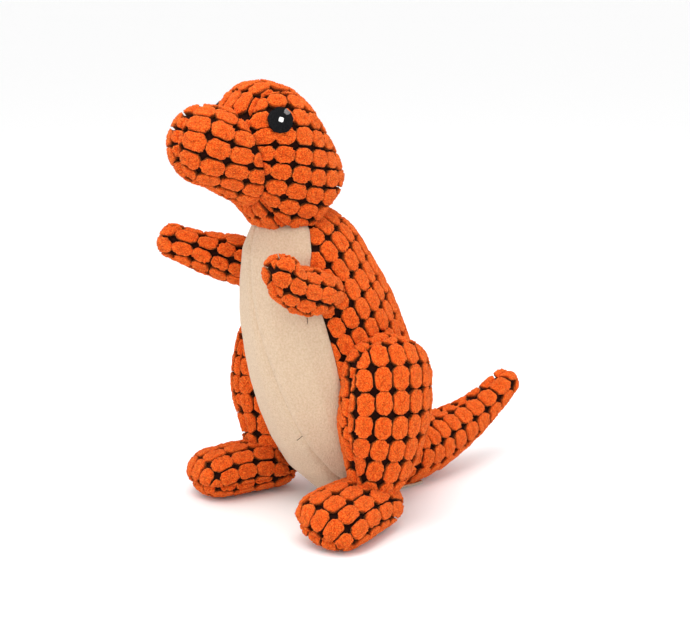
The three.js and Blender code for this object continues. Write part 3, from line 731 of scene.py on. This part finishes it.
GUSSET = 0.0152  # half the width of the strips over the crown and under the chin
MUZZLE_SEAM_Y, MUZZLE_SEAM_Z = HIPS - 0.0683, 0.2317
MUZZLE_SEAM_TILT = 0.25
JAW_SEAM_Y, JAW_SEAM_Z = HIPS - 0.022, 0.204
JAW_SEAM_SLOPE = 0.5
MUZZLE_GRAIN = (0, 1, -0.2)
CHEEK_GRAIN = (0, 1, -0.12)
CHEEK_CELL = CELL * (1, 0.86)

torso_outer = surface_tree(torso_form, np.concatenate([back_tris, belly_tris]))
head_nodes = ["muzzle_left", "muzzle_right", "cheek_left", "cheek_right", "crown_gusset", "chin_gusset"]
head_form, head_tris = form_of(head_nodes + ["head_stuffing"], onto=[torso_outer])
filling("head", "head", head_form, head_tris, [torso_outer])
head_form, head_tris = without(head_form, head_tris, torso_outer)
ahead = MUZZLE_SEAM_Y - head_form[:, 1] - MUZZLE_SEAM_TILT * (head_form[:, 2] - MUZZLE_SEAM_Z)
head_form, muzzle_tris, skull_tris = cut(head_form, head_tris, ahead)


def eye_of(side):
    """The middle of the eye's patch and the way it faces."""
    node = frame["nodes"][f"{side}_eye_patch"].data
    spots = np.array([v.co for v in node.vertices])
    middle = spots.mean(axis=0)
    facing = np.linalg.svd(spots - middle)[2][2]
    return middle, facing * np.sign(facing[0] * (middle[0] - MIDDLE))


EYE_RADIUS = 0.0077
EYE_TUCK = 0.0008  # how far the tufts round an eye start inside its edge
eyes = {side: eye_of(side) for side in ("left", "right")}


def clear_of_eye(points):
    """How far points are outside the nearer eye, less the tuck."""
    gaps = [np.linalg.norm(points - middle, axis=1) for middle, _ in eyes.values()]
    return np.minimum(*gaps) - EYE_RADIUS + EYE_TUCK


head_form, left_tris, right_tris = cut(head_form, muzzle_tris, head_form[:, 0] - MIDDLE)
for side, panel_tris, across in (("left", left_tris, 1), ("right", right_tris, -1)):
    panel = panel_of(head_form, panel_tris, (MIDDLE + across * 0.027, -0.125, 0.238), MUZZLE_GRAIN)
    cloth_piece(f"muzzle_{side}_cloth", "head", [f"muzzle_{side}"], panel, tufts_on(panel, dice))

head_form, gusset_tris, cheek_tris = cut(head_form, skull_tris, GUSSET - np.abs(head_form[:, 0] - MIDDLE))
head_form, left_tris, right_tris = cut(head_form, cheek_tris, head_form[:, 0] - MIDDLE)
for side, panel_tris, across in (("left", left_tris, 1), ("right", right_tris, -1)):
    panel = panel_of(head_form, panel_tris, (MIDDLE + across * 0.037, -0.085, 0.235), CHEEK_GRAIN)
    tufts = tufts_on(panel, dice, cell=CHEEK_CELL, clear_of=clear_of_eye)
    cloth_piece(f"cheek_{side}_cloth", "head", [f"cheek_{side}"], panel, tufts)

over_jaw = JAW_SEAM_SLOPE * (head_form[:, 1] - JAW_SEAM_Y) + head_form[:, 2] - JAW_SEAM_Z
head_form, crown_tris, chin_tris = cut(head_form, gusset_tris, over_jaw)
strip = np.array([GUSSET * 2 / 3, CELL[1]])
panel = panel_of(head_form, crown_tris, (MIDDLE, -0.085, 0.28), (0, 1, 0))
tufts = tufts_on(panel, dice, cell=strip, shift=(-strip[0] / 2, 0))
cloth_piece("crown_strip", "head", ["crown_gusset"], panel, tufts)
panel = panel_of(head_form, chin_tris, (MIDDLE, -0.09, 0.2), (0, 1, 0))
tufts = tufts_on(panel, dice, cell=strip, shift=(-strip[0] / 2, 0))
cloth_piece("chin_strip", "head", ["chin_gusset"], panel, tufts)

# ------------------------------------------------------------------------------------------------
# Eyes: a disc of black satin stitch on each cheek, with a white dot in its middle and a grey diamond
# above and behind that, all worked in thread and standing a little over the cloth.
# ------------------------------------------------------------------------------------------------

THREAD = 0.00045  # one stitch beside the next
THREAD_RIDGE = 0.00016
EYE_RINGS, EYE_SIDES = 22, 96
EYE_EDGE = 0.0012  # how far a patch's edge goes down into the pile


def stitched(name, side, node, outline, lift, crown, slant, material, place=(0, 0)):
    """A patch of parallel stitches: rings of an outline, ridged across the thread's run."""
    middle, facing = eyes[side]
    up = np.array([0, 0, 1]) - facing * facing[2]
    up /= np.linalg.norm(up)
    back = np.cross(up, facing) * (1 if side == "left" else -1)
    middle = middle + back * place[0] + up * place[1]
    angles = np.arange(EYE_SIDES) * 2 * math.pi / EYE_SIDES
    edge = outline(angles)
    inner = np.linspace(0.02, 0.97, EYE_RINGS)
    levels = np.concatenate([inner, [1.0, 1.0]])
    heights = np.concatenate([crown * (1 - inner ** 2.5) + lift, [lift, lift - EYE_EDGE]])
    points, faces = [], []
    for level, height in zip(levels, heights):
        u = np.cos(angles) * edge * level
        v = np.sin(angles) * edge * level
        run = u * math.cos(slant) + v * math.sin(slant)
        ridge = np.abs(np.sin(run * math.pi / THREAD)) ** 0.7 * THREAD_RIDGE
        points.append(middle + np.outer(u, back) + np.outer(v, up) + np.outer(height + ridge, facing))
    for k in range(len(levels) - 1):
        here, over = k * EYE_SIDES, (k + 1) * EYE_SIDES
        for i in range(EYE_SIDES):
            j = (i + 1) % EYE_SIDES
            faces.append([here + i, here + j, over + j, over + i])
    faces.append(list(range(EYE_SIDES))[::-1])
    if side == "left":
        faces = [f[::-1] for f in faces]
    piece = plain_cloth(name, np.concatenate(points), faces, material, [node], rounds=0)
    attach(piece, "head")


def thread(name, shades, roughness):
    """Sewing thread of one colour."""
    made, nodes, links, shader = finish(name, roughness)
    shader.inputs["Specular IOR Level"].default_value = 0.06
    where = mottled(nodes, links, shader, 0.0006, shades)
    rough_up(nodes, links, shader, where, 0.00025, 0.0001)
    return made


black_thread = thread("black_thread", [(0.003, 0.003, 0.0035), (0.011, 0.011, 0.012)], 0.75)
white_thread = thread("white_thread", [(0.78, 0.78, 0.76), (0.95, 0.95, 0.93)], 0.5)
grey_thread = thread("grey_thread", [(0.13, 0.12, 0.12), (0.22, 0.21, 0.21)], 0.5)
for side in ("left", "right"):
    stitched(
        f"{side}_eye", side, f"{side}_eye_patch",
        lambda a: EYE_RADIUS * (1 + 0.02 * np.sin(5 * a) + 0.015 * np.sin(11 * a + 1)),
        0.0008, 0.0012, 0, black_thread,
    )
    stitched(
        f"{side}_eye_dot", side, f"{side}_eye_highlight",
        lambda a: 0.0018 * (1 + 0.06 * np.sin(4 * a)), 0.0018, 0.0006, 0.8, white_thread,
    )
    stitched(
        f"{side}_eye_diamond", side, f"{side}_eye_glint",
        lambda a: 0.0026 / (np.abs(np.cos(a)) + np.abs(np.sin(a))) ** 0.9, 0.0012, 0.0006, 1.6, grey_thread,
        place=(0.0038, 0.0042),
    )

# ------------------------------------------------------------------------------------------------
# Legs: an outer and an inner panel each, closed round the thigh, sewn flat onto the torso's side at
# the top and onto the foot at the ankle. Feet: an upper over a sole.
# ------------------------------------------------------------------------------------------------

HIP_X = {side: pivots[f"{side}_leg_swing"][0] for side in ("left", "right")}
HEEL = {"left": (MIDDLE + 0.048, HIPS + 0.0131), "right": (MIDDLE - 0.048, HIPS + 0.0131)}
FOOT_ROLL = {"left": math.radians(16), "right": math.radians(4)}
FOOT_SPLAY = math.radians(13)
FOOT_SEAM = 0.011
FOOT_MIDDLE = 0.04  # from the heel, along the foot
FOOT_TOP, FOOT_UNDER = 0.025, 0.011  # over and under the seam
LEG_HALF = 0.022
LEG_CELL = CELL * (1.08, 0.98)
LEG_GRAIN = (0, 0.1, 1)

for side, sign in (("left", 1), ("right", -1)):
    body = f"{side}_leg"
    foot_form, foot_tris = form_of([f"{side}_foot_upper", f"{side}_foot_sole", f"{side}_foot_stuffing"])
    foot_outer = surface_tree(foot_form, foot_tris)
    filling(f"{side}_foot", body, foot_form, foot_tris)
    along = np.array([sign * math.sin(FOOT_SPLAY), -math.cos(FOOT_SPLAY), 0])
    across = np.array([math.cos(FOOT_SPLAY), sign * math.sin(FOOT_SPLAY), -sign * math.tan(FOOT_ROLL[side])])
    sole_up = -np.cross(across, along)
    sole_up /= np.linalg.norm(sole_up)
    heel = np.array([*HEEL[side], FOOT_SEAM])
    over_sole = (foot_form[:, :3] - heel) @ sole_up
    foot_form, upper_tris, sole_tris = cut(foot_form, foot_tris, over_sole)
    top = heel + along * FOOT_MIDDLE + np.array([0, 0, FOOT_TOP])
    panel = panel_of(foot_form, upper_tris, top, along)
    cloth_piece(f"{side}_foot_top", body, [f"{side}_foot_upper"], panel, tufts_on(panel, dice))
    under = heel + along * FOOT_MIDDLE - np.array([0, 0, FOOT_UNDER])
    panel = panel_of(foot_form, sole_tris, under, along)
    cloth_piece(f"{side}_sole", body, [f"{side}_foot_sole"], panel, tufts_on(panel, dice, height=PILE * 0.7))

    leg_form, leg_tris = form_of(
        [f"{side}_leg_outer", f"{side}_leg_inner", f"{side}_leg_stuffing"], onto=[torso_outer, foot_outer],
    )
    filling(f"{side}_leg", body, leg_form, leg_tris, [torso_outer, foot_outer])
    leg_form, leg_tris = without(leg_form, leg_tris, torso_outer)
    leg_form, leg_tris = without(leg_form, leg_tris, foot_outer)
    leg_form, outer_tris, inner_tris = cut(leg_form, leg_tris, sign * (leg_form[:, 0] - HIP_X[side]))
    for face, panel_tris, out in (("outer", outer_tris, 1), ("inner", inner_tris, -1)):
        spot = (HIP_X[side] + sign * out * LEG_HALF, -0.03, 0.08)
        panel = panel_of(leg_form, panel_tris, spot, LEG_GRAIN)
        tufts = tufts_on(panel, dice, cell=LEG_CELL)
        piece = cloth_piece(f"{side}_leg_{face}_cloth", None, [f"{side}_leg_{face}"], panel, tufts)
        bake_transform(piece)

# ------------------------------------------------------------------------------------------------
# Arms: an outer and an inner panel each, gathered to a blunt hand, stuffed, and sewn onto the torso at
# the shoulder. The left arm reaches forwards, and the right one forwards and out.
# ------------------------------------------------------------------------------------------------

SHOULDER = {side: pivots[f"{side}_arm_swing"] for side in ("left", "right")}
ARM_LENGTH = 0.071
ARM_MIDDLE = {
    "left": SHOULDER["left"] + np.array([0.13, -0.63, 0.07]) * ARM_LENGTH,
    "right": SHOULDER["right"] + np.array([-0.48, -0.51, 0.16]) * ARM_LENGTH,
}
HAND = {
    "left": SHOULDER["left"] + np.array([0.17, -0.82, 0.35]) * ARM_LENGTH,
    "right": SHOULDER["right"] + np.array([-0.76, -0.74, 0.28]) * ARM_LENGTH,
}
ARM_REACH = {"left": (0.204, -0.979, 0), "right": (-0.7165, -0.6976, 0)}
ARM_HALF = 0.012
ARM_CELL = CELL * (0.98, 0.84)  # gathered along the arm

for side, sign in (("left", 1), ("right", -1)):
    body = f"{side}_arm"
    line = HAND[side] - SHOULDER[side]
    arm_form, arm_tris = form_of(
        [f"{side}_arm_outer", f"{side}_arm_inner", f"{side}_arm_stuffing"], onto=[torso_outer], rounds=16,
        root=(SHOULDER[side], line),
    )
    filling(f"{side}_arm", body, arm_form, arm_tris, [torso_outer])
    arm_form, arm_tris = without(arm_form, arm_tris, torso_outer)
    reach = ARM_REACH[side]
    outwards = np.array([-reach[1] * sign, reach[0] * sign, 0])
    beside = (arm_form[:, :3] - ARM_MIDDLE[side]) @ outwards
    arm_form, outer_tris, inner_tris = cut(arm_form, arm_tris, beside)
    for face, panel_tris, out in (("outer", outer_tris, 1), ("inner", inner_tris, -1)):
        spot = ARM_MIDDLE[side] + outwards * out * ARM_HALF
        panel = panel_of(arm_form, panel_tris, spot, line)
        tufts = tufts_on(panel, dice, cell=ARM_CELL, shift=(CELL[0] / 2, 0))
        piece = cloth_piece(f"{side}_arm_{face}_cloth", None, [f"{side}_arm_{face}"], panel, tufts)
        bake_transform(piece)

# ------------------------------------------------------------------------------------------------
# Tail: a left and a right panel round a stuffed cone that turns up at the tip, sewn onto the seat. The
# tufts' columns run across it.
# ------------------------------------------------------------------------------------------------

TAIL_CELL = CELL * (1.14, 1.05)  # pulled wider by the stuffing
TAIL_GRAIN = (0, -0.23, 0.97)

tail_form, tail_tris = form_of(["tail_left", "tail_right", "tail_stuffing"], onto=[torso_outer], rounds=20)
filling("tail", "tail", tail_form, tail_tris, [torso_outer])
tail_form, tail_tris = without(tail_form, tail_tris, torso_outer)
tail_form, left_tris, right_tris = cut(tail_form, tail_tris, tail_form[:, 0] - MIDDLE)
for side, panel_tris, across in (("left", left_tris, 1), ("right", right_tris, -1)):
    panel = panel_of(tail_form, panel_tris, (MIDDLE + across * 0.02, 0.08, 0.037), TAIL_GRAIN)
    tufts = tufts_on(panel, dice, cell=TAIL_CELL)
    piece = cloth_piece(f"tail_{side}_cloth", None, [f"tail_{side}"], panel, tufts)
    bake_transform(piece)

# ------------------------------------------------------------------------------------------------
# Tail flap: a small leaf of cloth left in the seam under the tail's root, of two plies sewn back to
# back: tufted pile on top, and cream plush below and round the edge.
# ------------------------------------------------------------------------------------------------

FLAP_THICK = 0.0014
FLAP_STEPS = 14
FLAP_DROOP = 0.0003
FLAP_BOW = 0.06  # how much its sides are cut back towards the end
FLAP_RAISED = 0.0004  # off the floor
FLAP_RIM = 0.0012

low, high = (np.array(p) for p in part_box("tail_flap"))
below = []
for i in range(FLAP_STEPS + 1):
    for j in range(FLAP_STEPS + 1):
        s, t = i / FLAP_STEPS, j / FLAP_STEPS
        bow = 1 - FLAP_BOW * (2 * s - 1) ** 2 * t
        height = low[2] + FLAP_DROOP * math.sin(9 * s) * math.sin(7 * t) + FLAP_RAISED
        below.append((low[0] + (high[0] - low[0]) * s, low[1] + (high[1] - low[1]) * t * bow, height))
below = np.array(below)
above = below + np.array([0, 0, FLAP_THICK])
count, row = len(below), FLAP_STEPS + 1
starts = [i * row + j for i in range(FLAP_STEPS) for j in range(FLAP_STEPS)]
over = [[a + count, a + count + row, a + count + row + 1, a + count + 1] for a in starts]
under = [[a + 1, a + row + 1, a + row, a] for a in starts]
rim = [i * row for i in range(row)]
rim += [FLAP_STEPS * row + j for j in range(1, row)]
rim += [i * row + FLAP_STEPS for i in range(FLAP_STEPS - 1, -1, -1)]
rim += list(range(FLAP_STEPS - 1, 0, -1))
walls = [[a, b, b + count, a + count] for a, b in zip(rim, rim[1:] + rim[:1])]
flap = plain_cloth(
    "tail_flap_cloth", np.concatenate([below, above]), under + walls + over, belly_cream,
    ["tail_flap"],
)
flap.data.materials.append(pile_orange)
# Painted shade: the flap's pile gets one even, slightly darkened shade value over all its points.
painted_shade = flap.data.attributes.new("painted_shade", "FLOAT", "POINT")
painted_shade.data.foreach_set("value", np.full(len(flap.data.vertices), 0.8))
for face in flap.data.polygons:
    inside = np.abs(np.array(face.center[:2]) - (low + high)[:2] / 2) < (high - low)[:2] / 2 - FLAP_RIM
    face.material_index = int(face.normal.z > 0.5 and inside.all())
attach(flap, "tail")

# ------------------------------------------------------------------------------------------------
# Loose thread: two ends of the black sewing thread, left a few millimetres long where the belly was
# closed, one by the left side seam under the arm and one low on the middle seam.
# ------------------------------------------------------------------------------------------------

THREAD_RADIUS = 0.00022
THREAD_SIDES = 6
CLOTH_PULLED = 0.0009  # how far the belly's nap lies under the torso's outer surface


def loose_end(name, path):
    """A short end of sewing thread, as a thin tube along a few points."""
    points, faces = [], []
    last = len(path) - 1
    for k, p in enumerate(path):
        along = (path[min(k + 1, last)] - path[max(k - 1, 0)]).normalized()
        one = along.cross(Vector((0.3, 0.2, 1))).normalized()
        two = along.cross(one)
        for i in range(THREAD_SIDES):
            angle = i * 2 * math.pi / THREAD_SIDES
            points.append(p + (one * math.cos(angle) + two * math.sin(angle)) * THREAD_RADIUS)
    for k in range(last):
        here, there = k * THREAD_SIDES, (k + 1) * THREAD_SIDES
        for i in range(THREAD_SIDES):
            j = (i + 1) % THREAD_SIDES
            faces.append([here + i, here + j, there + j, there + i])
    faces += [list(range(THREAD_SIDES))[::-1], [last * THREAD_SIDES + i for i in range(THREAD_SIDES)]]
    piece = plain_cloth(name, points, faces, black_thread, rounds=0)
    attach(piece, "torso")


def on_torso(x, y, z, lift=0.0004):
    """The nearest place on the belly's cloth, a little over it."""
    spot, out, _, _ = torso_outer.find_nearest(Vector((MIDDLE + x, HIPS + y, z)))
    return spot + out * (lift - CLOTH_PULLED)


loose_end("thread_end_side", [
    on_torso(0.0352, -0.0440, 0.1400),
    on_torso(0.0356, -0.0440, 0.1388, 0.0016),
    on_torso(0.0354, -0.0440, 0.1374, 0.0020),
    on_torso(0.0350, -0.0440, 0.1362, 0.0014),
])
loose_end("thread_end_front", [
    on_torso(0.0195, -0.035, 0.0600),
    on_torso(0.0185, -0.036, 0.0585, 0.0016),
    on_torso(0.0165, -0.037, 0.0565, 0.0022),
])
